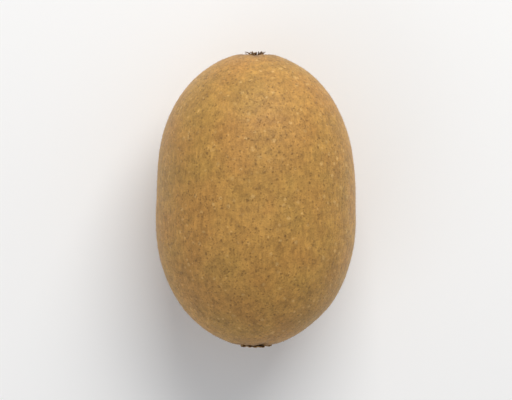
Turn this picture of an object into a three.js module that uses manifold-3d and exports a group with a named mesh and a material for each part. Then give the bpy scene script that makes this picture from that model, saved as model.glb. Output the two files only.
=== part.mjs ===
// A golden kiwi fruit lying on its side, whole and as picked: the fruit, the dried
// calyx where its stalk came off, and the dried styles at its flower end.
// Units are millimetres and +Z is up. The stalk end points to -Y and the flower end
// to +Y. The origin lies on the small flat spot that the fruit rests on.

import * as THREE from "three";
import { mergeVertices } from "three/addons/utils/BufferGeometryUtils.js";
import Module from "manifold-3d";

const wasm = await Module();
wasm.setup();

// Size of the fruit. The axis length is that of its even curve, before its ends are
// dished.
const AXIS_LENGTH = 76.2;
const WIDTH = 51.4;
const THICKNESS = 48.8;
const REST_DEPTH = 0.22; // how much the weight of the fruit flattens its underside

// Form of the fruit. Its fullness along the side and at the tips is 2 on an ellipse.
// More along the side is like a barrel, and less at a tip is more pointed. The lobes
// make its section slightly uneven, and each twists along the fruit.
const SIDE_FULLNESS = 2.65;
const STALK_END = { tipFullness: 1.7, dishDepth: 0.85, dishRadius: 4 };
const FLOWER_END = { tipFullness: 1.85, dishDepth: 1.2, dishRadius: 3.4 };
const TAPER = 0.018; // how much slimmer the flower half is than the stalk half
const LOBES = [
  { count: 2, share: 0.006, turn: 0.9, twist: 0.5 },
  { count: 3, share: 0.009, turn: 0.4, twist: 0.7 },
  { count: 4, share: 0.005, turn: Math.PI, twist: 0 },
  { count: 5, share: 0.004, turn: 2.1, twist: -0.8 },
];

// Mesh of the fruit
const RINGS = 48;
const SEGMENTS = 72;

// The dried ends sit in round pits with a clear gap all round
const FIT_GAP = 0.3;
const PIT_CUT_REACH = 4; // how far past the fruit's tip the pits are cut
const ROUND_SIDES = 24;

// Dried calyx: a woody scar with a raised rim, and sepals spread on the skin
const SCAR = { radius: 2.2, rise: 0.5, bevel: 0.3, rimWidth: 0.8, hollow: 0.4, pitDepth: 1.4 };
const SEPAL_COUNT = 5;
const SEPAL = { rootRadius: 1.2, length: 3.9, width: 3.3, thickness: 0.6, curl: 0.5, cup: 0.16 };
const SEPAL_OUTLINE = { start: 0.3, fullness: 0.8, tipWidth: 0.1 };
const SEPAL_CURL_POWER = 2.4;
const SEPAL_VARIATION = { angle: 0.16, length: 0.14, curl: 0.45 };
const SEPAL_STATIONS = 7;

// Dried styles: a small scar with two whorls of thin sticks
const STYLE_SCAR = { radius: 1.7, rise: 0.35, bevel: 0.25, pitDepth: 1.1 };
const STYLE_WHORLS = [
  { count: 8, rootRadius: 0.55, lean: 0.8, length: 1 },
  { count: 14, rootRadius: 1.1, lean: 1.3, length: 1.6 },
];
const STYLE = { rootWidth: 0.5, tipWidth: 0.3, sunk: 0.7, rootSlope: 0.45 };
const STYLE_VARIATION = { angle: 0.3, lean: 0.16, length: 0.22, bend: 0.35 };
const STYLE_STATIONS = 4;

const SKIN = new THREE.MeshStandardMaterial({
  name: "kiwi_skin",
  color: "#b0813f",
  roughness: 0.62,
  metalness: 0,
});
const DRIED_SEPAL = new THREE.MeshStandardMaterial({
  name: "dried_calyx",
  color: "#4f3521",
  roughness: 0.85,
  metalness: 0,
});
const DRIED_STYLE = new THREE.MeshStandardMaterial({
  name: "dried_styles",
  color: "#33231a",
  roughness: 0.85,
  metalness: 0,
});

// A repeatable draw from 0 to 1 for each index and kind
function draw(index, kind) {
  const wave = Math.sin(index * 12.9898 + kind * 78.233) * 43758.5453;
  return wave - Math.floor(wave);
}

function spread(index, kind, amount) {
  return (2 * draw(index, kind) - 1) * amount;
}

function toSolid(geometry) {
  const bare = geometry.clone();
  bare.deleteAttribute("normal");
  bare.deleteAttribute("uv");
  const merged = mergeVertices(bare, 1e-4);
  const mesh = new wasm.Mesh({
    numProp: 3,
    vertProperties: new Float32Array(merged.attributes.position.array),
    triVerts: new Uint32Array(merged.index.array),
  });
  return new wasm.Manifold(mesh);
}

function toGeometry(solid) {
  const mesh = solid.getMesh();
  const geometry = new THREE.BufferGeometry();
  geometry.setAttribute("position", new THREE.BufferAttribute(mesh.vertProperties, 3));
  geometry.setIndex(new THREE.BufferAttribute(mesh.triVerts, 1));
  geometry.computeVertexNormals();
  return geometry;
}

// How deep an end is dished, by the distance from the axis
function dishAt(radius, end) {
  return end.dishDepth * Math.exp(-((radius / end.dishRadius) ** 2));
}

// The skin's height at an end, measured outwards along the axis from the tip of
// the fruit's even curve
function endHeight(radius, end) {
  const share = (2 * radius) / WIDTH;
  const even = (1 - share ** end.tipFullness) ** (1 / SIDE_FULLNESS) - 1;
  return (even * AXIS_LENGTH) / 2 - dishAt(radius, end);
}

// A point of the skin. The polar angle runs from 0 at the stalk end to PI at the
// flower end, and the turn runs round the axis from +X towards +Z.
function skinPoint(polar, turn) {
  const along = -Math.cos(polar);
  const end = along < 0 ? STALK_END : FLOWER_END;
  const ring = (1 - Math.abs(along) ** SIDE_FULLNESS) ** (1 / end.tipFullness);
  const fade = Math.sin(polar) ** 2;
  let swell = 1 - TAPER * along;
  for (const { count, share, turn: start, twist } of LOBES) {
    swell += share * fade * Math.cos(count * turn + start + twist * along);
  }
  const radius = (ring * WIDTH) / 2;
  const dish = Math.sign(along) * dishAt(radius, end);
  return new THREE.Vector3(
    (WIDTH / 2) * ring * swell * Math.cos(turn),
    (AXIS_LENGTH / 2) * along - dish,
    (THICKNESS / 2) * ring * swell * Math.sin(turn),
  );
}

function skinGeometry() {
  const positions = [...skinPoint(0, 0), ...skinPoint(Math.PI, 0)];
  for (let ring = 1; ring < RINGS; ring++) {
    for (let step = 0; step < SEGMENTS; step++) {
      const turn = (2 * Math.PI * step) / SEGMENTS;
      positions.push(...skinPoint((Math.PI * ring) / RINGS, turn));
    }
  }
  const at = (ring, step) => 2 + (ring - 1) * SEGMENTS + (step % SEGMENTS);
  const faces = [];
  for (let step = 0; step < SEGMENTS; step++) {
    faces.push(0, at(1, step), at(1, step + 1));
    faces.push(1, at(RINGS - 1, step + 1), at(RINGS - 1, step));
    for (let ring = 1; ring < RINGS - 1; ring++) {
      const corners = [at(ring, step), at(ring + 1, step), at(ring + 1, step + 1)];
      faces.push(...corners, corners[0], corners[2], at(ring, step + 1));
    }
  }
  const geometry = new THREE.BufferGeometry();
  geometry.setAttribute("position", new THREE.Float32BufferAttribute(positions, 3));
  geometry.setIndex(faces);
  return geometry;
}

// A closed solid through rings of points that go round anticlockwise, seen from
// the end of the run
function loftGeometry(rings) {
  const size = rings[0].length;
  const positions = rings.flat().flatMap((point) => [...point]);
  const faces = [];
  for (let i = 0; i < rings.length - 1; i++) {
    for (let j = 0; j < size; j++) {
      const here = i * size + j;
      const beside = i * size + ((j + 1) % size);
      faces.push(here, beside, beside + size, here, beside + size, here + size);
    }
  }
  const last = (rings.length - 1) * size;
  for (let j = 1; j < size - 1; j++) {
    faces.push(0, j + 1, j, last, last + j, last + j + 1);
  }
  const geometry = new THREE.BufferGeometry();
  geometry.setAttribute("position", new THREE.Float32BufferAttribute(positions, 3));
  geometry.setIndex(faces);
  return geometry;
}

// A round body about its own +Z from a half outline of [radius, height] points
function turned(outline) {
  const points = outline.map(([radius, height]) => new THREE.Vector2(radius, height));
  return new THREE.LatheGeometry(points, ROUND_SIDES).rotateX(Math.PI / 2);
}

function pitCutter(radius, floor) {
  return turned([[0, floor], [radius, floor], [radius, PIT_CUT_REACH], [0, PIT_CUT_REACH]]);
}

// The fruit, with a pit at each end and its flat spot. Its axis is the Y axis here.
function fruitBody(restHeight, calyxPit, stylePit) {
  const halfLength = AXIS_LENGTH / 2;
  const stalkPit = pitCutter(SCAR.radius + FIT_GAP, calyxPit);
  stalkPit.rotateX(Math.PI / 2).translate(0, -halfLength, 0);
  const flowerPit = pitCutter(STYLE_SCAR.radius + FIT_GAP, stylePit);
  flowerPit.rotateX(-Math.PI / 2).translate(0, halfLength, 0);
  const under = new THREE.BoxGeometry(WIDTH, AXIS_LENGTH, THICKNESS);
  under.translate(0, 0, -restHeight - THICKNESS / 2);
  return [stalkPit, flowerPit, under].reduce(
    (body, cutter) => body.subtract(toSolid(cutter)),
    toSolid(skinGeometry()),
  );
}

// Half the width of a sepal at a share of its length: broad near the root, pointed
// at the tip
function sepalHalfWidth(share) {
  const { start, fullness, tipWidth } = SEPAL_OUTLINE;
  const wave = Math.sin(Math.PI * THREE.MathUtils.lerp(start, 1, share));
  return (SEPAL.width / 2) * THREE.MathUtils.lerp(tipWidth, 1, Math.max(wave, 0) ** fullness);
}

// One dried sepal about +Z. It lies just clear of the skin, and its tip curls off it.
function sepalGeometry(index) {
  const even = (2 * Math.PI * index) / SEPAL_COUNT;
  const angle = even + spread(index, 1, SEPAL_VARIATION.angle);
  const length = SEPAL.length * (1 + spread(index, 2, SEPAL_VARIATION.length));
  const curl = SEPAL.curl * (1 + spread(index, 3, SEPAL_VARIATION.curl));
  const outward = new THREE.Vector3(Math.cos(angle), Math.sin(angle), 0);
  const sideways = new THREE.Vector3(-outward.y, outward.x, 0);
  const section = [[-1, -1], [0, -1], [1, -1], [1, 1], [0, 1], [-1, 1]];
  const rings = [];
  for (let station = 0; station < SEPAL_STATIONS; station++) {
    const share = station / (SEPAL_STATIONS - 1);
    const radius = SEPAL.rootRadius + length * share;
    const lift = FIT_GAP + SEPAL.thickness / 2 + curl * share ** SEPAL_CURL_POWER;
    const height = endHeight(radius, STALK_END) + lift;
    const ring = section.map(([side, face]) => {
      const cupped = SEPAL.cup * Math.abs(side) * (1 - share);
      const point = outward.clone().multiplyScalar(radius);
      point.addScaledVector(sideways, side * sepalHalfWidth(share));
      point.z = height + cupped + (face * SEPAL.thickness) / 2;
      return point;
    });
    rings.push(ring);
  }
  return loftGeometry(rings);
}

// The woody scar with its sepals, about +Z, measured from the fruit's even tip
function calyxSolid(calyxPit) {
  const { radius, bevel, rimWidth, hollow } = SCAR;
  const rim = endHeight(radius, STALK_END) + SCAR.rise;
  const scar = turned([
    [0, calyxPit + FIT_GAP],
    [radius, calyxPit + FIT_GAP],
    [radius, rim - bevel],
    [radius - bevel, rim],
    [radius - rimWidth, rim],
    [radius - rimWidth - hollow, rim - hollow],
    [0, rim - hollow],
  ]);
  let calyx = toSolid(scar);
  for (let index = 0; index < SEPAL_COUNT; index++) {
    calyx = calyx.add(toSolid(sepalGeometry(index)));
  }
  return calyx;
}

// One dried style about +Z: a thin four-sided stick that bends outwards
function styleGeometry(whorl, index, scarTop) {
  const kind = 10 * whorl.count;
  const place = index + spread(index, kind + 1, STYLE_VARIATION.angle);
  const angle = (2 * Math.PI * place) / whorl.count;
  const lean = whorl.lean + spread(index, kind + 2, STYLE_VARIATION.lean);
  const length = whorl.length * (1 + spread(index, kind + 3, STYLE_VARIATION.length));
  const bend = spread(index, kind + 4, STYLE_VARIATION.bend);
  const corners = [[-1, -1], [1, -1], [1, 1], [-1, 1]];
  const middle = new THREE.Vector3(Math.cos(angle), Math.sin(angle), 0);
  middle.multiplyScalar(whorl.rootRadius);
  middle.z = scarTop - STYLE.sunk;
  const step = (length + STYLE.sunk) / (STYLE_STATIONS - 1);
  const rings = [];
  for (let station = 0; station < STYLE_STATIONS; station++) {
    const share = station / (STYLE_STATIONS - 1);
    const slope = lean * THREE.MathUtils.lerp(STYLE.rootSlope, 1, share);
    const turn = angle + bend * share;
    const along = new THREE.Vector3(Math.cos(turn), Math.sin(turn), 0);
    along.multiplyScalar(Math.sin(slope)).setZ(Math.cos(slope));
    const across = new THREE.Vector3(-Math.sin(turn), Math.cos(turn), 0);
    const lift = new THREE.Vector3().crossVectors(along, across);
    const half = THREE.MathUtils.lerp(STYLE.rootWidth, STYLE.tipWidth, share) / 2;
    const ring = corners.map(([side, face]) => {
      const point = middle.clone().addScaledVector(across, side * half);
      return point.addScaledVector(lift, face * half);
    });
    rings.push(ring);
    middle.addScaledVector(along, step);
  }
  return loftGeometry(rings);
}

// The flower scar with its whorls of styles, about +Z, measured from the even tip
function stylesSolid(stylePit) {
  const { radius, rise, bevel } = STYLE_SCAR;
  const top = endHeight(radius, FLOWER_END) + rise;
  const scar = turned([
    [0, stylePit + FIT_GAP],
    [radius, stylePit + FIT_GAP],
    [radius, top - bevel],
    [radius - bevel, top],
    [0, top],
  ]);
  let styles = toSolid(scar);
  for (const whorl of STYLE_WHORLS) {
    for (let index = 0; index < whorl.count; index++) {
      styles = styles.add(toSolid(styleGeometry(whorl, index, top)));
    }
  }
  return styles;
}

function namedMesh(name, solid, material) {
  const mesh = new THREE.Mesh(toGeometry(solid), material);
  mesh.name = name;
  return mesh;
}

const skinBox = new THREE.Box3().setFromBufferAttribute(skinGeometry().attributes.position);
const axisHeight = -skinBox.min.z - REST_DEPTH;
const calyxPit = endHeight(0, STALK_END) - SCAR.pitDepth;
const stylePit = endHeight(0, FLOWER_END) - STYLE_SCAR.pitDepth;

// Inside this group the fruit's axis is the Y axis
const fruit = new THREE.Group();
fruit.position.z = axisHeight;
fruit.add(namedMesh("fruit_body", fruitBody(axisHeight, calyxPit, stylePit), SKIN));

const stalkEnd = new THREE.Group();
stalkEnd.position.y = -AXIS_LENGTH / 2;
stalkEnd.rotation.x = Math.PI / 2;
stalkEnd.add(namedMesh("dried_calyx", calyxSolid(calyxPit), DRIED_SEPAL));
fruit.add(stalkEnd);

const flowerEnd = new THREE.Group();
flowerEnd.position.y = AXIS_LENGTH / 2;
flowerEnd.rotation.x = -Math.PI / 2;
flowerEnd.add(namedMesh("dried_styles", stylesSolid(stylePit), DRIED_STYLE));
fruit.add(flowerEnd);

const kiwi = new THREE.Group();
kiwi.add(fruit);

export default kiwi;
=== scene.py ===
"""A whole golden kiwi fruit lying on its side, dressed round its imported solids.

Lengths are in millimetres up to the meshes, which are in metres. +Z is up, the stalk
end points to -Y and the flower end to +Y. The fruit lies on its flat spot at Z = 0.
"""

import math

import bpy
import numpy as np
from mathutils import Matrix, Vector


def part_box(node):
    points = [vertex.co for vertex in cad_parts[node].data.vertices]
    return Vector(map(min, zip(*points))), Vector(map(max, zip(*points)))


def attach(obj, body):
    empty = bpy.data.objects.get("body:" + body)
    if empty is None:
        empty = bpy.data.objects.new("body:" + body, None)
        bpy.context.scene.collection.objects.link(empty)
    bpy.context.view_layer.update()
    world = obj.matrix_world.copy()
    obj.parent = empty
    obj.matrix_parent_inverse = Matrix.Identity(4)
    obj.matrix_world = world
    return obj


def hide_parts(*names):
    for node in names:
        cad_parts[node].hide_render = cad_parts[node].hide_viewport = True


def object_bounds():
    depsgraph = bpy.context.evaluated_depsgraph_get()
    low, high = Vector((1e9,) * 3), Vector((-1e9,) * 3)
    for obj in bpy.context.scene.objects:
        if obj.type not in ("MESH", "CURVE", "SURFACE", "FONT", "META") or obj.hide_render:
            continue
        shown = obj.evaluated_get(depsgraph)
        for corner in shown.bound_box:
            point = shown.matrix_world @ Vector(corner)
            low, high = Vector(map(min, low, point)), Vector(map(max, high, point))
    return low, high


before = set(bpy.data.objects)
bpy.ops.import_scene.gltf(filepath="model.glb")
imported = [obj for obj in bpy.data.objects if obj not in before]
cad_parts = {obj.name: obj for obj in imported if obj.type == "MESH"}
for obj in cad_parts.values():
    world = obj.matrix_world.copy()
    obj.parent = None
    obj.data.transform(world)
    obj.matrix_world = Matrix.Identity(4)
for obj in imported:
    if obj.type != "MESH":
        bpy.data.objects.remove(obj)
cad_low, cad_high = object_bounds()

MM = 0.001

# Size and form of the fruit, as in the part's own solid
AXIS_LENGTH = 76.2
WIDTH = 51.4
THICKNESS = 48.8
SIDE_FULLNESS = 2.65
STALK_END = {"tip_fullness": 1.7, "dish_depth": 0.85, "dish_radius": 4.0}
FLOWER_END = {"tip_fullness": 1.85, "dish_depth": 1.2, "dish_radius": 3.4}
TAPER = 0.018
LOBES = (
    # count, share of the radius, turn, twist along the fruit
    (2, 0.006, 0.9, 0.5),
    (3, 0.009, 0.4, 0.7),
    (4, 0.005, math.pi, 0.0),
    (5, 0.004, 2.1, -0.8),
)

# Puckers that run in to each end: how high, how far out they are highest, how wide
STALK_PUCKER = {"height": 0.13, "peak": 5.2, "width": 2.6, "counts": (7, 11, 16)}
FLOWER_PUCKER = {"height": 0.09, "peak": 4.0, "width": 2.2, "counts": (6, 9, 14)}

# Mesh of the skin, fine enough for relief of about a millimetre
SKIN_RINGS = 216
SKIN_SEGMENTS = 420

# Relief that the skin has in its mesh: how large the waves are, how high and how fine.
# The swell fades out round both ends, so that the dried parts sit right on the skin.
SKIN_SWELL = ("broad_swell", 17.0, 0.55, 1)
SKIN_RELIEF = (("small_dents", 5.0, 0.12, 2), ("pebbled_skin", 1.3, 0.045, 1))
SWELL_FADE = (4.0, 10.0)  # from no swell to all of it, by the distance from the axis

# Dried calyx, laid out as its solid is. Its sepals lie closer to the skin, with blunter
# tips.
SEPAL_COUNT = 5
SCAR_RADIUS = 2.2
SCAR_RISE = 0.5
SCAR_SIDES = 40
SCAR_ROUGHNESS = (0.55, 0.14, 2)  # how large, how high and how fine, as for the skin
SEPAL_ROOT_RADIUS = 1.2
SEPAL_LENGTH = 3.9
SEPAL_WIDTH = 3.3
SEPAL_CURL = 0.36
SEPAL_CURL_POWER = 2.4
SEPAL_OUTLINE = {"start": 0.3, "fullness": 0.7, "tip": 0.3}
SEPAL_VARIATION = {"angle": 0.16, "length": 0.14, "curl": 0.6, "width": 0.12, "twist": 0.22}

# What the real sepals have beyond that
SEPAL_GRID = (24, 28)
SEPAL_LIFT = 0.17  # middle of their thickness above the skin
SEPAL_THICKNESS = 0.2
SEPAL_TIP_ROUNDING = 0.16  # how far the tip's corners fall back, as a share of the length
SEPAL_TEAR = 0.07  # how deep the tears in the tip are, as a share of the length
SEPAL_RAGGEDNESS = 0.09  # how uneven the long edges are, as a share of half the width
SEPAL_EDGE_POWER = 2.5  # how near the edge its curl begins
SEPAL_EDGE_CURL = 0.3
SEPAL_EDGE_SHRINKAGE = 0.16  # how far the curled edges draw in, as a share of the width
SEPAL_WAVE = 0.16
SEPAL_SAG = 0.12
SEPAL_RIB = {"height": 0.1, "width": 0.22}
SEPAL_VEINS = 5
SEPAL_VEIN_HEIGHT = 0.06
SEPAL_CREASES = (1.1, 0.1, 2)

# Dried styles, placed as in their solid, with a whorl of finer ones among them
STYLE_SCAR_RADIUS = 1.7
STYLE_SCAR_RISE = 0.35
STYLE_SCAR_SIDES = 36
STYLE_SCAR_ROUGHNESS = (0.5, 0.16, 2)
STYLE_SUNK = 0.7
STYLE_ROOT_SLOPE = 0.45
STYLE_WHORLS = (
    # count, root radius, lean, length
    (8, 0.55, 0.8, 1.0),
    (14, 1.1, 1.3, 1.6),
)
FINE_STYLE_WHORL = (17, 0.85, 1.05, 1.2)
STYLE_VARIATION = {"angle": 0.3, "lean": 0.16, "length": 0.22, "bend": 0.35, "waver": 0.55}
STYLE_STATIONS = 9
STYLE_BREAKS = 0.3  # most of its length that a style has lost
STYLE_HALF_THICKNESS = 0.17
FINE_STYLE_HALF_THICKNESS = 0.1
STYLE_TAPER = 0.6  # share of its thickness that a style loses to its tip
STIGMA = {"swelling": 0.035, "place": 0.93, "width": 0.1}  # the dried knob near the tip
STYLE_SHRINKAGE = (0.4, 0.07, 1)

# Down: short hairs that lean towards the flower end. Angles are from the skin's normal.
DOWN_COUNT = 16000
DOWN_LENGTH = (0.25, 0.6)
DOWN_THICKNESS = (0.04, 0.065)
DOWN_ROOT_DEPTH = 0.05
DOWN_STRAY = 0.7  # how far the hairs turn off the way to the flower end
DOWN_LEAN = (0.7, 1.15)
DOWN_BEND = (0.1, 0.45)  # how much further the outer half leans
DOWN_FLOOR_GAP = 1.2
DOWN_SEED = 11
FACE_NUMBER = "face_number"  # the attribute that holds the skin's own count of its faces

# How large the patterns in the skin's colour are
CLOUD_SIZE = 11
PATCH_SIZE = 4.2
MOTTLE_SIZE = 1.7
GRAIN_SIZE = 0.4
STREAK_WIDTH = 0.7
STREAK_SLENDERNESS = 0.22  # a streak's width as a share of its length

# Russet round both ends. The patches take up to the push off a point's distance from the
# axis. What is left is below the first of these where the russet is strongest, and past
# the second where there is none.
RUSSET_PUSH = 12
RUSSET_FADE = (-4.5, 3)

# Spots on the skin: their spacing in millimetres, the share of places that have one, how
# much of its place one reaches over, its strength and its colour
RUBBED_FLECKS = (1.6, 0.5, 0.5, 0.45, "#d6ae6c")
PORES = (0.55, 0.8, 0.55, 0.5, "#835b28")
LENTICELS = (0.85, 0.85, 0.55, 0.62, "#71501f")
SPOT_SHOVE = {"size": 0.9, "distance": 0.7}  # spots are pushed about, so they don't line up

# The photograph's frame in pixels, where the fruit's middle is in it, and the size of a
# pixel there in millimetres
PHOTO_WIDTH, PHOTO_HEIGHT = 512, 400
FRUIT_IN_PHOTO = (328, 249)
PHOTO_SCALE = 0.70

# The view: how high the camera is, and how many pixels long the fruit is drawn
CAMERA_HEIGHT = 900.0
FRUIT_LENGTH_PX = 300

# The stage, in metres and watts
FLOOR_SIZE = 6.0
WORLD_STRENGTH = 0.46
KEY_LIGHT = {"place": (0.14, 0.58, 0.55), "size": (0.6, 0.5), "power": 5.5, "colour": "#fffdfa"}
FILL_LIGHT = {"place": (-0.5, -0.45, 0.45), "size": (0.6, 0.6), "power": 0.9, "colour": "#f6f8ff"}


def linear(hex_colour, alpha=1.0):
    """The linear colour of an sRGB hex value."""
    channels = [int(hex_colour[i : i + 2], 16) / 255 for i in (1, 3, 5)]
    curved = [c / 12.92 if c <= 0.04045 else ((c + 0.055) / 1.055) ** 2.4 for c in channels]
    return (*curved, alpha)


def per_mm(size):
    """The scale that makes a pattern's features that many millimetres large."""
    return 1 / (size * MM)


def draw(index, kind):
    """A repeatable draw from 0 to 1, the one that places the part's sepals and styles."""
    wave = math.sin(index * 12.9898 + kind * 78.233) * 43758.5453
    return wave - math.floor(wave)


def spread(index, kind, amount):
    """A repeatable draw from minus the amount to the amount."""
    return (2 * draw(index, kind) - 1) * amount


# Materials

# The sockets of a Mix node that serve when it mixes colours
MIX_FACTOR, MIX_A, MIX_B, MIX_RESULT = 0, 6, 7, 2


def add_node(tree, kind, settings=None, inputs=None, stops=None):
    """Adds a node with its settings, its inputs as values or links, and a ramp's stops."""
    node = tree.nodes.new(kind)
    for name, value in (settings or {}).items():
        setattr(node, name, value)
    for name, value in (inputs or {}).items():
        if isinstance(value, bpy.types.NodeSocket):
            tree.links.new(value, node.inputs[name])
        else:
            node.inputs[name].default_value = value
    if stops:
        elements = node.color_ramp.elements
        while len(elements) < len(stops):
            elements.new(1.0)
        for element, (place, colour) in zip(elements, stops):
            element.position = place
            element.color = colour
    return node


def new_material(name):
    material = bpy.data.materials.new(name)
    material.use_nodes = True
    tree = material.node_tree
    return material, tree, tree.nodes["Principled BSDF"]


def add_spots(tree, place, spacing, share, reach):
    """A mask of soft round spots, one to a cell of that spacing in that share of the
    cells. Each grows to its own size, up to that reach of a cell."""
    cells = add_node(
        tree,
        "ShaderNodeTexVoronoi",
        {"feature": "F1"},
        {"Vector": place, "Scale": per_mm(spacing), "Randomness": 1.0},
    )
    own = add_node(tree, "ShaderNodeSeparateColor", inputs={"Color": cells.outputs["Color"]})
    size = add_node(
        tree,
        "ShaderNodeMapRange",
        inputs={"Value": own.outputs["Green"], "To Min": 0.45 * reach, "To Max": reach},
    )
    outward = add_node(
        tree,
        "ShaderNodeMath",
        {"operation": "DIVIDE"},
        {0: cells.outputs["Distance"], 1: size.outputs["Result"]},
    )
    spot = add_node(
        tree,
        "ShaderNodeMapRange",
        {"interpolation_type": "SMOOTHSTEP"},
        {
            "Value": outward.outputs["Value"],
            "From Min": 0.35,
            "From Max": 1.0,
            "To Min": 1.0,
            "To Max": 0.0,
        },
    )
    strength = add_node(
        tree,
        "ShaderNodeMapRange",
        inputs={"Value": own.outputs["Red"], "From Min": 1 - share, "From Max": 1 - 0.4 * share},
    )
    return add_node(
        tree,
        "ShaderNodeMath",
        {"operation": "MULTIPLY"},
        {0: spot.outputs["Result"], 1: strength.outputs["Result"]},
    ).outputs["Value"]


def skin_ground(tree, place, axis_height):
    """Bronze in soft clouds, with weathered patches a few millimetres wide, and russet
    round both ends."""
    clouds = add_node(
        tree,
        "ShaderNodeTexNoise",
        inputs={"Vector": place, "Scale": per_mm(CLOUD_SIZE), "Detail": 3.0, "Roughness": 0.5},
    )
    ground = add_node(
        tree,
        "ShaderNodeValToRGB",
        inputs={"Fac": clouds.outputs["Fac"]},
        stops=[(0.36, linear("#af853e")), (0.5, linear("#b58740")), (0.64, linear("#b4833e"))],
    )
    patches = add_node(
        tree,
        "ShaderNodeTexNoise",
        inputs={"Vector": place, "Scale": per_mm(PATCH_SIZE), "Detail": 5.0, "Roughness": 0.62},
    )
    patch_mask = add_node(
        tree,
        "ShaderNodeMapRange",
        inputs={"Value": patches.outputs["Fac"], "From Min": 0.42, "From Max": 0.7, "To Max": 0.38},
    )
    weathered = add_node(
        tree,
        "ShaderNodeMix",
        {"data_type": "RGBA"},
        {
            MIX_FACTOR: patch_mask.outputs["Result"],
            MIX_A: ground.outputs["Color"],
            MIX_B: linear("#8c6128"),
        },
    )

    # The russet goes by the distance from the axis, and the patches make it ragged
    from_axis = add_node(
        tree,
        "ShaderNodeMapping",
        inputs={"Vector": place, "Location": (0, 0, -axis_height * MM), "Scale": (1, 0, 1)},
    )
    distance = add_node(
        tree, "ShaderNodeVectorMath", {"operation": "LENGTH"}, {0: from_axis.outputs["Vector"]}
    )
    ragged = add_node(
        tree,
        "ShaderNodeMath",
        {"operation": "MULTIPLY_ADD"},
        {0: patches.outputs["Fac"], 1: -RUSSET_PUSH * MM, 2: distance.outputs["Value"]},
    )
    strongest, none = RUSSET_FADE
    end_mask = add_node(
        tree,
        "ShaderNodeMapRange",
        {"interpolation_type": "SMOOTHSTEP"},
        {
            "Value": ragged.outputs["Value"],
            "From Min": strongest * MM,
            "From Max": none * MM,
            "To Min": 0.88,
            "To Max": 0.0,
        },
    )
    return add_node(
        tree,
        "ShaderNodeMix",
        {"data_type": "RGBA"},
        {
            MIX_FACTOR: end_mask.outputs["Result"],
            MIX_A: weathered.outputs[MIX_RESULT],
            MIX_B: linear("#6d4821"),
        },
    ).outputs[MIX_RESULT]


def lay_spots(tree, place, colour):
    """Pale rubbed flecks, pores and dark lenticels over a colour. Gives the new colour and
    the mask of the lenticels."""
    # Their cells are turned, and pushed about by soft noise
    turned = add_node(
        tree, "ShaderNodeMapping", inputs={"Vector": place, "Rotation": (0.5, 0.8, 0.3)}
    )
    shove = add_node(
        tree,
        "ShaderNodeTexNoise",
        inputs={"Vector": place, "Scale": per_mm(SPOT_SHOVE["size"]), "Detail": 1.0},
    )
    push = (SPOT_SHOVE["distance"] * MM,) * 3
    scattered = add_node(
        tree,
        "ShaderNodeVectorMath",
        {"operation": "MULTIPLY_ADD"},
        {0: shove.outputs["Color"], 1: push, 2: turned.outputs["Vector"]},
    ).outputs["Vector"]
    for spacing, share, reach, strength, tint in (RUBBED_FLECKS, PORES, LENTICELS):
        mask = add_spots(tree, scattered, spacing, share, reach)
        amount = add_node(
            tree, "ShaderNodeMath", {"operation": "MULTIPLY"}, {0: mask, 1: strength}
        )
        layer = add_node(
            tree,
            "ShaderNodeMix",
            {"data_type": "RGBA"},
            {MIX_FACTOR: amount.outputs["Value"], MIX_A: colour, MIX_B: linear(tint)},
        )
        colour = layer.outputs[MIX_RESULT]
    return colour, mask


def cork_grain(tree, place):
    """The grain of the cork, drawn as coarse as a render shows, streaks along the fruit
    where the down has been rubbed flat, and a soft mottle. Gives the grain alone, and how
    light or dark they all make the skin."""
    grain = add_node(
        tree,
        "ShaderNodeTexNoise",
        inputs={"Vector": place, "Scale": per_mm(GRAIN_SIZE), "Detail": 2.0, "Roughness": 0.6},
    )
    drawn_out = add_node(
        tree, "ShaderNodeMapping", inputs={"Vector": place, "Scale": (1, STREAK_SLENDERNESS, 1)}
    )
    streaks = add_node(
        tree,
        "ShaderNodeTexNoise",
        inputs={
            "Vector": drawn_out.outputs["Vector"],
            "Scale": per_mm(STREAK_WIDTH),
            "Detail": 2.0,
            "Roughness": 0.5,
        },
    )
    mottle = add_node(
        tree,
        "ShaderNodeTexNoise",
        inputs={"Vector": place, "Scale": per_mm(MOTTLE_SIZE), "Detail": 2.0, "Roughness": 0.55},
    )
    fine = add_node(
        tree,
        "ShaderNodeMath",
        {"operation": "ADD"},
        {0: grain.outputs["Fac"], 1: streaks.outputs["Fac"]},
    )
    texture = add_node(
        tree,
        "ShaderNodeMath",
        {"operation": "MULTIPLY_ADD"},
        {0: mottle.outputs["Fac"], 1: 1.3, 2: fine.outputs["Value"]},
    )
    shade = add_node(
        tree,
        "ShaderNodeMapRange",
        inputs={
            "Value": texture.outputs["Value"],
            "From Min": 1.25,
            "From Max": 2.05,
            "To Min": 0.77,
            "To Max": 1.29,
        },
    )
    return grain.outputs["Fac"], shade.outputs["Result"]


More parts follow.
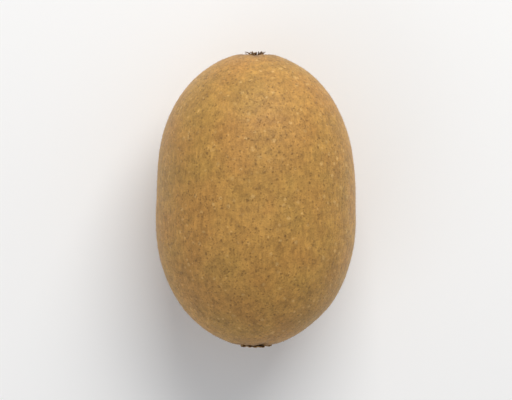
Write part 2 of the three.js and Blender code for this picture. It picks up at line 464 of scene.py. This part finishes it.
def skin_material(axis_height):
    """Kiwi skin: a thin corky periderm over wax. It is satin, never glossy, and covered
    in fine dark lenticels and paler rubbed flecks on a bronze ground."""
    material, tree, shader = new_material("bronze_kiwi_skin")
    place = add_node(tree, "ShaderNodeTexCoord").outputs["Object"]
    ground = skin_ground(tree, place, axis_height)
    colour, lenticels = lay_spots(tree, place, ground)
    grain, shade = cork_grain(tree, place)
    grained = add_node(
        tree, "ShaderNodeVectorMath", {"operation": "SCALE"}, {0: colour, "Scale": shade}
    )
    roughness = add_node(
        tree,
        "ShaderNodeMapRange",
        inputs={
            "Value": grain,
            "From Min": 0.3,
            "From Max": 0.7,
            "To Min": 0.72,
            "To Max": 0.52,
        },
    )
    raised = add_node(tree, "ShaderNodeMath", {"operation": "ADD"}, {0: lenticels, 1: grain})
    bump = add_node(
        tree,
        "ShaderNodeBump",
        inputs={"Height": raised.outputs["Value"], "Strength": 0.7, "Distance": 0.06 * MM},
    )
    tree.links.new(grained.outputs["Vector"], shader.inputs["Base Color"])
    tree.links.new(roughness.outputs["Result"], shader.inputs["Roughness"])
    tree.links.new(bump.outputs["Normal"], shader.inputs["Normal"])
    shader.inputs["IOR"].default_value = 1.45
    shader.inputs["Sheen Weight"].default_value = 0.25
    shader.inputs["Sheen Roughness"].default_value = 0.45
    shader.inputs["Sheen Tint"].default_value = linear("#f3dcb8")
    return material


def down_material():
    """Kiwi down: short dry plant hairs. They are pale and catch the light at the rim."""
    material, tree, shader = new_material("pale_dry_down")
    place = add_node(tree, "ShaderNodeTexCoord").outputs["Object"]
    tint = add_node(
        tree, "ShaderNodeTexNoise", inputs={"Vector": place, "Scale": per_mm(6), "Detail": 2.0}
    )
    colour = add_node(
        tree,
        "ShaderNodeValToRGB",
        inputs={"Fac": tint.outputs["Fac"]},
        stops=[(0.35, linear("#a67a40")), (0.65, linear("#cda873"))],
    )
    tree.links.new(colour.outputs["Color"], shader.inputs["Base Color"])
    shader.inputs["Roughness"].default_value = 0.6
    return material


def dried_material(name, colours, fibre, roughness):
    """Dried plant tissue: shrunk fibres in their own tones, with painted shade in the folds and a
    painted lighter tone on the ridges, since the colour follows the same noise as the bump.
    """
    material, tree, shader = new_material(name)
    dark, middle, pale = (linear(colour) for colour in colours)
    place = add_node(tree, "ShaderNodeTexCoord").outputs["Object"]
    fibres = add_node(
        tree,
        "ShaderNodeTexNoise",
        inputs={"Vector": place, "Scale": per_mm(fibre), "Detail": 5.0, "Roughness": 0.65},
    )
    # The colour follows the bump's noise: painted shade where it is low, in the folds, and a
    # painted lighter tone where it is high, on the ridges
    colour = add_node(
        tree,
        "ShaderNodeValToRGB",
        inputs={"Fac": fibres.outputs["Fac"]},
        stops=[(0.34, dark), (0.5, middle), (0.68, pale)],
    )
    bump = add_node(
        tree,
        "ShaderNodeBump",
        inputs={"Height": fibres.outputs["Fac"], "Strength": 0.8, "Distance": 0.12 * MM},
    )
    tree.links.new(colour.outputs["Color"], shader.inputs["Base Color"])
    tree.links.new(bump.outputs["Normal"], shader.inputs["Normal"])
    shader.inputs["Roughness"].default_value = roughness
    shader.inputs["Specular IOR Level"].default_value = 0.25
    return material


def sepal_material():
    """A dried sepal: stiff as parchment, with fibres that run from its root to its tip.
    Its thin edges are paler and its root is stained dark."""
    material, tree, shader = new_material("parchment_dried_sepal")
    source = add_node(tree, "ShaderNodeTexCoord")
    place, sheet = source.outputs["Object"], source.outputs["UV"]

    # Fibres are drawn out along the sepal, and its place shifts them from its neighbours
    shift = add_node(
        tree,
        "ShaderNodeVectorMath",
        {"operation": "SCALE"},
        {0: place, "Scale": per_mm(5)},
    )
    along = add_node(
        tree,
        "ShaderNodeVectorMath",
        {"operation": "MULTIPLY_ADD"},
        {0: sheet, 1: (11.0, 1.6, 1.0), 2: shift.outputs["Vector"]},
    )
    fibres = add_node(
        tree,
        "ShaderNodeTexNoise",
        inputs={"Vector": along.outputs["Vector"], "Scale": 1.0, "Detail": 3.0, "Roughness": 0.6},
    )
    colour = add_node(
        tree,
        "ShaderNodeValToRGB",
        inputs={"Fac": fibres.outputs["Fac"]},
        stops=[(0.32, linear("#553618")), (0.5, linear("#85602f")), (0.68, linear("#b99158"))],
    )

    # How far across and along the sepal a point is
    spread_out = add_node(tree, "ShaderNodeSeparateXYZ", inputs={"Vector": sheet})
    off_rib = add_node(
        tree, "ShaderNodeMath", {"operation": "SUBTRACT"}, {0: spread_out.outputs["X"], 1: 0.5}
    )
    to_edge = add_node(
        tree, "ShaderNodeMath", {"operation": "ABSOLUTE"}, {0: off_rib.outputs["Value"]}
    )
    edge_mask = add_node(
        tree,
        "ShaderNodeMapRange",
        inputs={
            "Value": to_edge.outputs["Value"],
            "From Min": 0.3,
            "From Max": 0.5,
            "To Max": 0.65,
        },
    )
    edged = add_node(
        tree,
        "ShaderNodeMix",
        {"data_type": "RGBA"},
        {
            MIX_FACTOR: edge_mask.outputs["Result"],
            MIX_A: colour.outputs["Color"],
            MIX_B: linear("#c8a46e"),
        },
    )
    root_mask = add_node(
        tree,
        "ShaderNodeMapRange",
        inputs={
            "Value": spread_out.outputs["Y"],
            "From Min": 0.1,
            "From Max": 0.55,
            "To Min": 0.7,
            "To Max": 0.0,
        },
    )
    stained = add_node(
        tree,
        "ShaderNodeMix",
        {"data_type": "RGBA"},
        {
            MIX_FACTOR: root_mask.outputs["Result"],
            MIX_A: edged.outputs[MIX_RESULT],
            MIX_B: linear("#402811"),
        },
    )
    bump = add_node(
        tree,
        "ShaderNodeBump",
        inputs={"Height": fibres.outputs["Fac"], "Strength": 0.7, "Distance": 0.1 * MM},
    )
    tree.links.new(stained.outputs[MIX_RESULT], shader.inputs["Base Color"])
    tree.links.new(bump.outputs["Normal"], shader.inputs["Normal"])
    shader.inputs["Roughness"].default_value = 0.7
    shader.inputs["Specular IOR Level"].default_value = 0.3
    return material


# Modelling

def select_only(obj):
    bpy.ops.object.select_all(action="DESELECT")
    obj.select_set(True)
    bpy.context.view_layer.objects.active = obj


def vertex_array(mesh):
    flat = np.empty(len(mesh.vertices) * 3)
    mesh.vertices.foreach_get("co", flat)
    return flat.reshape(-1, 3)


def set_vertices(mesh, points):
    mesh.vertices.foreach_set("co", np.asarray(points, float).ravel())
    mesh.update()


def apply_modifiers(obj):
    select_only(obj)
    for modifier in list(obj.modifiers):
        bpy.ops.object.modifier_apply(modifier=modifier.name)


def displace(obj, name, size, height, depth, group=""):
    """Raises and lowers the surface by soft noise, then keeps it in the mesh."""
    clouds = bpy.data.textures.new(name, "CLOUDS")
    clouds.noise_scale = size * MM
    clouds.noise_depth = depth
    modifier = obj.modifiers.new(name, "DISPLACE")
    modifier.texture = clouds
    modifier.texture_coords = "LOCAL"
    modifier.mid_level = 0.5
    modifier.strength = height * MM
    modifier.vertex_group = group
    apply_modifiers(obj)


def finish_piece(obj, name, material, slot, *nodes):
    obj.name = name
    obj.data.materials.clear()
    obj.data.materials.append(material)
    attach(obj, "root")
    if nodes:
        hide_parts(*nodes)
    return obj


def dish_at(radius, end):
    return end["dish_depth"] * np.exp(-((radius / end["dish_radius"]) ** 2))


def end_height(radius, end):
    """The skin's height at an end, outwards along the axis from the even curve's tip."""
    even = (1 - (2 * radius / WIDTH) ** end["tip_fullness"]) ** (1 / SIDE_FULLNESS) - 1
    return even * AXIS_LENGTH / 2 - dish_at(radius, end)


def pucker(radius, turn, settings):
    """Low uneven ridges that run in to an end and fade before its middle."""
    waves = np.zeros_like(turn)
    for number, count in enumerate(settings["counts"]):
        bend = 0.7 * np.sin(2 * turn + number)
        waves += np.cos(count * turn + 1.7 * number + bend) / (1 + 0.5 * number)
    fade = np.exp(-(((radius - settings["peak"]) / settings["width"]) ** 2))
    return settings["height"] * fade * waves


def skin_points(polar, turn):
    """Points of the skin about its axis. The polar angle runs from 0 at the stalk end to
    pi at the flower end, and the turn runs round the axis from +X towards +Z."""
    along = -np.cos(polar)
    in_stalk_half = along < 0
    fullness = np.where(in_stalk_half, STALK_END["tip_fullness"], FLOWER_END["tip_fullness"])
    ring = (1 - np.abs(along) ** SIDE_FULLNESS) ** (1 / fullness)
    fade = np.sin(polar) ** 2
    swell = 1 - TAPER * along
    for count, share, start, twist in LOBES:
        swell = swell + share * fade * np.cos(count * turn + start + twist * along)
    radius = ring * WIDTH / 2
    stalk = dish_at(radius, STALK_END) - pucker(radius, turn, STALK_PUCKER)
    flower = pucker(radius, turn, FLOWER_PUCKER) - dish_at(radius, FLOWER_END)
    x = WIDTH / 2 * ring * swell * np.cos(turn)
    y = AXIS_LENGTH / 2 * along + np.where(in_stalk_half, stalk, flower)
    z = THICKNESS / 2 * ring * swell * np.sin(turn)
    return np.stack([x, y, z], axis=1)


def number_faces(sphere):
    """Counts the faces ring by ring, because the operators list them in another order in
    each run, and the random draw of the hairs' roots needs them in the same one."""
    centres = np.empty(len(sphere.polygons) * 3)
    sphere.polygons.foreach_get("center", centres)
    x, y, z = centres.reshape(-1, 3).T
    turn = np.arctan2(z, x) % (2 * math.pi)
    ring = np.floor(SKIN_RINGS * np.arctan2(np.hypot(x, z), -y) / math.pi)
    segment = np.floor(SKIN_SEGMENTS * turn / (2 * math.pi))
    numbers = sphere.attributes.new(FACE_NUMBER, "INT", "FACE")
    numbers.data.foreach_set("value", (ring * SKIN_SEGMENTS + segment).astype(np.int32))


def make_skin(axis_height):
    """The skin starts as a sphere with its poles at the fruit's ends. Each point then
    moves to its place on the fruit, and relief is laid over it."""
    bpy.ops.object.select_all(action="DESELECT")
    bpy.ops.mesh.primitive_uv_sphere_add(
        segments=SKIN_SEGMENTS, ring_count=SKIN_RINGS, radius=1, rotation=(math.pi / 2, 0, 0)
    )
    skin = bpy.context.object
    bpy.ops.object.transform_apply(location=True, rotation=True, scale=True)
    number_faces(skin.data)
    unit = vertex_array(skin.data)
    polar = np.arccos(np.clip(-unit[:, 1], -1, 1))
    turn = np.arctan2(unit[:, 2], unit[:, 0])
    points = skin_points(polar, turn)
    near, far = SWELL_FADE
    away = np.clip((np.hypot(points[:, 0], points[:, 2]) - near) / (far - near), 0, 1)
    points[:, 2] += axis_height
    set_vertices(skin.data, points * MM)
    sides = skin.vertex_groups.new(name="sides")
    for number, weight in enumerate(away * away * (3 - 2 * away)):
        sides.add([number], float(weight), "REPLACE")
    displace(skin, *SKIN_SWELL, group="sides")
    for relief in SKIN_RELIEF:
        displace(skin, *relief)
    skin.vertex_groups.clear()
    flatten_underside(skin)
    bpy.ops.object.shade_smooth()
    return skin


def flatten_underside(obj):
    """Presses what lies below the floor flat, as the fruit's weight does."""
    mesh = obj.data
    below = vertex_array(mesh)[:, 2] < 0
    select_only(obj)
    bpy.ops.object.mode_set(mode="EDIT")
    bpy.ops.mesh.select_mode(type="VERT")
    bpy.ops.mesh.select_all(action="DESELECT")
    bpy.ops.object.mode_set(mode="OBJECT")
    mesh.vertices.foreach_set("select", below)
    bpy.ops.object.mode_set(mode="EDIT")
    bpy.ops.transform.resize(value=(1, 1, 0), center_override=(0, 0, 0))
    bpy.ops.object.mode_set(mode="OBJECT")


def sepal_half_width(share):
    """Half a sepal's width at a share of its length: broad near the root, pointed at
    the tip."""
    wave = np.sin(math.pi * (SEPAL_OUTLINE["start"] * (1 - share) + share))
    tip = SEPAL_OUTLINE["tip"]
    return SEPAL_WIDTH / 2 * (tip + (1 - tip) * np.maximum(wave, 0) ** SEPAL_OUTLINE["fullness"])


def stand_on_end(obj, axis_height, flower_end=False):
    """Takes a piece made about +Z, measured from an even tip, to that end of the fruit."""
    side = 1 if flower_end else -1
    obj.rotation_euler = (-side * math.pi / 2, 0, 0)
    obj.location = (0, side * AXIS_LENGTH / 2 * MM, axis_height * MM)
    select_only(obj)
    bpy.ops.object.transform_apply(location=True, rotation=True, scale=True)


def sepal_points(index, side, share):
    """Points of a dried sepal about +Z. The side runs from -1 to 1 across it, and the
    share from 0 at its root to 1 at its tip."""
    vary = SEPAL_VARIATION
    angle = 2 * math.pi * index / SEPAL_COUNT + spread(index, 1, vary["angle"])
    length = SEPAL_LENGTH * (1 + spread(index, 2, vary["length"]))
    curl = SEPAL_CURL * (1 + spread(index, 3, vary["curl"]))
    width = 1 + spread(index, 4, vary["width"])
    heading = angle + spread(index, 5, vary["twist"]) * share
    edge = np.abs(side) ** SEPAL_EDGE_POWER

    # Its outline, with a torn tip and uneven edges that draw in as they curl
    tears = np.sin(6.5 * side + 2.3 * index) + 0.6 * np.sin(13 * side + 4.1 * index)
    tip_fall = SEPAL_TIP_ROUNDING * side**2 + SEPAL_TEAR * (1 + tears) / 2
    radius = SEPAL_ROOT_RADIUS + length * share * (1 - tip_fall * share**2)
    uneven = np.sin(13 * share + 2.6 * index + np.sign(side)) * np.abs(side)
    across = side * sepal_half_width(share) * (1 + SEPAL_RAGGEDNESS * uneven) * width
    across = across * (1 - SEPAL_EDGE_SHRINKAGE * edge)

    # Its height above the skin, with curled and rippled edges, a rib and veins
    rolled = SEPAL_EDGE_CURL * edge * np.sin(math.pi * np.clip(share * 1.15, 0, 1))
    rippled = SEPAL_WAVE * edge * np.sin(9 * share + 2.1 * index + 1.4 * np.sign(side))
    sag = SEPAL_SAG * np.sin(7 * share + 3 * side + index)
    rib = SEPAL_RIB["height"] * np.exp(-((side / SEPAL_RIB["width"]) ** 2)) * (1 - share)
    veins = SEPAL_VEIN_HEIGHT * np.cos(SEPAL_VEINS * math.pi * side)
    height = end_height(radius, STALK_END) + SEPAL_LIFT + curl * share**SEPAL_CURL_POWER
    height = height + rolled + (rippled + sag) * share + rib + veins
    x = radius * np.cos(heading) - across * np.sin(heading)
    y = radius * np.sin(heading) + across * np.cos(heading)
    return np.stack([x, y, height], axis=1)


def make_sepal(index, axis_height):
    """A grid laid out as a sepal: hugging the skin at its root, its tip curled off it and
    its edges rolled in, as it dries."""
    bpy.ops.object.select_all(action="DESELECT")
    columns, rows = SEPAL_GRID
    bpy.ops.mesh.primitive_grid_add(x_subdivisions=columns, y_subdivisions=rows, size=1)
    sepal = bpy.context.object
    flat = vertex_array(sepal.data)
    set_vertices(sepal.data, sepal_points(index, 2 * flat[:, 0], flat[:, 1] + 0.5) * MM)
    thick = sepal.modifiers.new("thickness", "SOLIDIFY")
    thick.thickness = SEPAL_THICKNESS * MM
    thick.offset = 0
    smooth = sepal.modifiers.new("rounding", "SUBSURF")
    smooth.levels = smooth.render_levels = 1
    apply_modifiers(sepal)
    displace(sepal, f"sepal_{index}_creases", *SEPAL_CREASES)
    stand_on_end(sepal, axis_height)
    bpy.ops.object.shade_smooth()
    return sepal


def make_round_scar(outline, sides, name, roughness):
    """A round scar built up from its first ring by extruding and scaling the next ones."""
    bpy.ops.object.select_all(action="DESELECT")
    first_radius, first_height = outline[0]
    bpy.ops.mesh.primitive_circle_add(
        vertices=sides,
        radius=first_radius * MM,
        fill_type="NGON",
        location=(0, 0, first_height * MM),
    )
    scar = bpy.context.object
    bpy.ops.object.transform_apply(location=True, rotation=True, scale=True)
    bpy.ops.object.mode_set(mode="EDIT")
    bpy.ops.mesh.select_mode(type="FACE")
    bpy.ops.mesh.select_all(action="SELECT")
    radius, height = first_radius, first_height
    for next_radius, next_height in outline[1:]:
        bpy.ops.mesh.extrude_region_move(
            TRANSFORM_OT_translate={"value": (0, 0, (next_height - height) * MM)}
        )
        scale = next_radius / radius
        bpy.ops.transform.resize(value=(scale, scale, 1), center_override=(0, 0, next_height * MM))
        radius, height = next_radius, next_height
    bpy.ops.mesh.poke()
    bpy.ops.mesh.select_all(action="SELECT")
    bpy.ops.mesh.normals_make_consistent(inside=False)
    bpy.ops.object.mode_set(mode="OBJECT")
    smooth = scar.modifiers.new("rounding", "SUBSURF")
    smooth.levels = smooth.render_levels = 2
    apply_modifiers(scar)
    displace(scar, name + "_roughness", *roughness)
    bpy.ops.object.shade_smooth()
    return scar


def make_stalk_scar(axis_height):
    """The woody scar: a collar that the sepals grow from, a rim, and the broken bundles
    of the stalk in its hollow."""
    base = end_height(SCAR_RADIUS, STALK_END)
    rim = base + SCAR_RISE
    outline = [
        (2.5, base - 0.5),
        (2.45, base + 0.1),
        (2.15, base + 0.32),
        (1.95, base + 0.4),
        (1.9, rim - 0.05),
        (1.6, rim + 0.08),
        (1.3, rim - 0.1),
        (1.15, rim - 0.42),
        (0.7, rim - 0.5),
        (0.5, rim - 0.3),
        (0.25, rim - 0.42),
    ]
    scar = make_round_scar(outline, SCAR_SIDES, "stalk_scar", SCAR_ROUGHNESS)
    stand_on_end(scar, axis_height)
    return scar


def make_flower_scar(axis_height):
    """The low corky scar that the styles stand on, hollow in its middle."""
    base = end_height(STYLE_SCAR_RADIUS, FLOWER_END)
    top = base + STYLE_SCAR_RISE
    outline = [
        (2.05, base - 0.6),
        (2.0, base - 0.02),
        (1.75, base + 0.16),
        (1.5, top - 0.02),
        (1.0, top + 0.04),
        (0.6, top - 0.14),
        (0.3, top - 0.16),
    ]
    scar = make_round_scar(outline, STYLE_SCAR_SIDES, "flower_scar", STYLE_SCAR_ROUGHNESS)
    stand_on_end(scar, axis_height, flower_end=True)
    return scar


def style_path(whorl, index, scar_top):
    """The points of one dried style about +Z, bent as its solid is, with a fine waver."""
    count, root_radius, whorl_lean, whorl_length = whorl
    kind = 10 * count
    vary = STYLE_VARIATION
    angle = 2 * math.pi * (index + spread(index, kind + 1, vary["angle"])) / count
    lean = whorl_lean + spread(index, kind + 2, vary["lean"])
    whole = whorl_length * (1 + spread(index, kind + 3, vary["length"]))
    length = whole * (1 - STYLE_BREAKS * draw(index, kind + 6))
    bend = spread(index, kind + 4, vary["bend"])
    waver = spread(index, kind + 5, vary["waver"])
    root = (root_radius * math.cos(angle), root_radius * math.sin(angle))
    point = Vector((*root, scar_top - STYLE_SUNK))
    step = (length + STYLE_SUNK) / (STYLE_STATIONS - 1)
    points = []
    for station in range(STYLE_STATIONS):
        points.append(point.copy())
        share = station / (STYLE_STATIONS - 1)
        slope = lean * (STYLE_ROOT_SLOPE + (1 - STYLE_ROOT_SLOPE) * share)
        slope += waver * math.sin(6 * share + index)
        turn = angle + bend * share + 0.5 * waver * math.cos(8 * share)
        flat = math.sin(slope)
        point += step * Vector((flat * math.cos(turn), flat * math.sin(turn), math.cos(slope)))
    return points


def make_styles(axis_height):
    """All the dried styles as one bevelled curve, thinned to the tip with a small knob
    where the stigma dried, then made a mesh."""
    top = end_height(STYLE_SCAR_RADIUS, FLOWER_END) + STYLE_SCAR_RISE
    curve = bpy.data.curves.new("dried_style_tuft", "CURVE")
    curve.dimensions = "3D"
    curve.bevel_depth = MM
    curve.bevel_resolution = 1
    curve.use_fill_caps = True
    whorls = [(whorl, STYLE_HALF_THICKNESS) for whorl in STYLE_WHORLS]
    whorls.append((FINE_STYLE_WHORL, FINE_STYLE_HALF_THICKNESS))
    for whorl, half_thickness in whorls:
        for index in range(whorl[0]):
            path = style_path(whorl, index, top)
            spline = curve.splines.new("POLY")
            spline.points.add(len(path) - 1)
            for station, point in enumerate(path):
                share = station / (len(path) - 1)
                off_knob = (share - STIGMA["place"]) / STIGMA["width"]
                knob = STIGMA["swelling"] * math.exp(-(off_knob**2))
                spline.points[station].co = (*(point * MM), 1)
                spline.points[station].radius = half_thickness * (1 - STYLE_TAPER * share) + knob
    tuft = bpy.data.objects.new("dried_style_tuft", curve)
    bpy.context.scene.collection.objects.link(tuft)
    select_only(tuft)
    bpy.ops.object.convert(target="MESH")
    tuft = bpy.context.object
    stand_on_end(tuft, axis_height, flower_end=True)
    displace(tuft, "style_shrinkage", *STYLE_SHRINKAGE)
    bpy.ops.object.shade_smooth()
    return tuft


def down_roots(mesh, random):
    """The middles and normals of the faces that a hair grows from: larger faces more
    often, and none close to the floor."""
    count = len(mesh.polygons)
    areas = np.empty(count)
    mesh.polygons.foreach_get("area", areas)
    centres = np.empty(count * 3)
    mesh.polygons.foreach_get("center", centres)
    normals = np.empty(count * 3)
    mesh.polygons.foreach_get("normal", normals)
    numbers = np.empty(count, np.int32)
    mesh.attributes[FACE_NUMBER].data.foreach_get("value", numbers)
    mesh.attributes.remove(mesh.attributes[FACE_NUMBER])
    in_order = np.argsort(numbers)
    centres = centres.reshape(-1, 3)[in_order] / MM
    normals = normals.reshape(-1, 3)[in_order]
    weights = areas[in_order] * (centres[:, 2] > DOWN_FLOOR_GAP)
    chosen = random.choice(count, DOWN_COUNT, replace=False, p=weights / weights.sum())
    return centres[chosen], normals[chosen]


def make_down(skin):
    """Thousands of fine tapering hairs in one mesh: three-sided, bent once, rooted in the
    skin and leaning towards the flower end."""
    random = np.random.default_rng(DOWN_SEED)
    root, out = down_roots(skin.data, random)
    forward = np.array([0.0, 1.0, 0.0]) - out * out[:, 1:2]
    forward /= np.maximum(np.linalg.norm(forward, axis=1, keepdims=True), 1e-6)
    sideways = np.cross(out, forward)
    stray = random.normal(0, DOWN_STRAY, DOWN_COUNT)[:, None]
    heading = forward * np.cos(stray) + sideways * np.sin(stray)
    across = np.cross(out, heading)
    length = random.uniform(*DOWN_LENGTH, DOWN_COUNT)[:, None]
    width = random.uniform(*DOWN_THICKNESS, DOWN_COUNT)[:, None] / 2
    lean = random.uniform(*DOWN_LEAN, DOWN_COUNT)[:, None]
    bend = lean + random.uniform(*DOWN_BEND, DOWN_COUNT)[:, None]
    first = root - DOWN_ROOT_DEPTH * out
    middle = root + length * 0.5 * (out * np.cos(lean) + heading * np.sin(lean))
    tip = middle + length * 0.5 * (out * np.cos(bend) + heading * np.sin(bend))
    corners = []
    for centre, size in ((first, width), (middle, 0.75 * width)):
        for corner in range(3):
            around = 2 * math.pi * corner / 3
            outward = math.cos(around) * heading + math.sin(around) * across
            corners.append(centre + size * outward)
    points = np.stack([*corners, tip], axis=1)

    # Each hair has a root face, two rings of three corners and a tip
    faces = [(2, 1, 0)]
    for corner in range(3):
        beside = (corner + 1) % 3
        faces += [(corner, beside, beside + 3), (corner, beside + 3, corner + 3)]
        faces.append((corner + 3, beside + 3, 6))
    first_points = points.shape[1] * np.arange(DOWN_COUNT)
    every_face = (np.array(faces)[None] + first_points[:, None, None]).reshape(-1, 3)
    mesh = bpy.data.meshes.new("skin_down")
    mesh.from_pydata((points.reshape(-1, 3) * MM).tolist(), [], every_face.tolist())
    down = bpy.data.objects.new("skin_down", mesh)
    bpy.context.scene.collection.objects.link(down)
    return down


def highest_of_axis():
    """How far the skin's highest point lies above the fruit's axis."""
    polar, turn = np.meshgrid(np.linspace(0, math.pi, 181), np.linspace(0, 2 * math.pi, 361))
    return skin_points(polar.ravel(), turn.ravel())[:, 2].max()


axis_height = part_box("fruit_body")[1].z / MM - highest_of_axis()

skin = make_skin(axis_height)
finish_piece(skin, "fruit_skin", skin_material(axis_height), "kiwi_skin", "fruit_body")
finish_piece(make_down(skin), "skin_down", down_material(), "skin_down")

# Wood torn across where the stalk was picked: matt, dark in its pores and pale on its breaks, with
# painted shade in its low places and a painted lighter tone on its high ones
wood_colours = ("#38220f", "#694a29", "#a07c4d")
woody = dried_material("broken_stalk_wood", wood_colours, fibre=0.5, roughness=0.85)

# Cork that closed over the foot of the flower: matt, and the darkest part of the fruit
cork_colours = ("#331f0e", "#573a1e", "#7d5b35")
corky = dried_material("corky_flower_scar", cork_colours, fibre=0.5, roughness=0.85)

# Styles shrunk to stiff wires: smoother and a little paler than the cork they stand on
style_colours = ("#412916", "#6a4a2a", "#9d7848")
wiry = dried_material("wiry_dried_style", style_colours, fibre=0.4, roughness=0.7)

parchment = sepal_material()
scar = make_stalk_scar(axis_height)
finish_piece(scar, "stalk_scar", woody, "dried_calyx", "dried_calyx")
for index in range(SEPAL_COUNT):
    sepal = make_sepal(index, axis_height)
    finish_piece(sepal, f"sepal_{index + 1}", parchment, "dried_calyx")
finish_piece(make_flower_scar(axis_height), "flower_scar", corky, "dried_styles")
tuft = make_styles(axis_height)
finish_piece(tuft, "dried_style_tuft", wiry, "dried_styles", "dried_styles")


# Floor, lights and camera

def add_floor():
    bpy.ops.object.select_all(action="DESELECT")
    bpy.ops.mesh.primitive_plane_add(size=FLOOR_SIZE, location=(0, 0, 0))
    floor = bpy.context.object
    floor.name = "floor"
    material, _, shader = new_material("matt_white_board")
    shader.inputs["Base Color"].default_value = linear("#f7f7f6")
    shader.inputs["Roughness"].default_value = 0.8
    floor.data.materials.append(material)


def add_softbox(name, target, place, size, power, colour):
    """A soft light that faces the target."""
    light = bpy.data.lights.new(name, "AREA")
    light.shape = "RECTANGLE"
    light.size, light.size_y = size
    light.energy = power
    light.color = linear(colour)[:3]
    lamp = bpy.data.objects.new(name, light)
    bpy.context.scene.collection.objects.link(lamp)
    lamp.location = place
    lamp.rotation_euler = (target - Vector(place)).to_track_quat("-Z", "Y").to_euler()


def add_world():
    world = bpy.data.worlds.new("pale_studio")
    world.use_nodes = True
    background = world.node_tree.nodes["Background"]
    background.inputs["Color"].default_value = linear("#f4f6fa")
    background.inputs["Strength"].default_value = WORLD_STRENGTH
    bpy.context.scene.world = world


def add_camera(middle, length):
    """Looks straight down, as the photograph does, from above the photograph's middle."""
    across = (FRUIT_IN_PHOTO[0] - PHOTO_WIDTH / 2) * PHOTO_SCALE
    down = (FRUIT_IN_PHOTO[1] - PHOTO_HEIGHT / 2) * PHOTO_SCALE
    back = Vector((-across, down, CAMERA_HEIGHT)) * MM
    outward = back.normalized()
    right = Vector((0, 1, 0)).cross(outward).normalized()
    up = outward.cross(right)
    camera = bpy.data.cameras.new("camera")
    camera.sensor_width = 36
    camera.lens = camera.sensor_width * back.length / length * FRUIT_LENGTH_PX / PHOTO_WIDTH
    camera.clip_start, camera.clip_end = 0.05, 20
    holder = bpy.data.objects.new("camera", camera)
    bpy.context.scene.collection.objects.link(holder)
    turn = Matrix((right, up, outward)).transposed().to_4x4()
    holder.matrix_world = Matrix.Translation(middle + back) @ turn
    bpy.context.scene.camera = holder


centre = (cad_low + cad_high) / 2
add_floor()
add_world()
add_softbox("key", centre, **KEY_LIGHT)
add_softbox("fill", centre, **FILL_LIGHT)
add_camera(centre, cad_high.y - cad_low.y)
bpy.context.scene.view_settings.view_transform = "Standard"
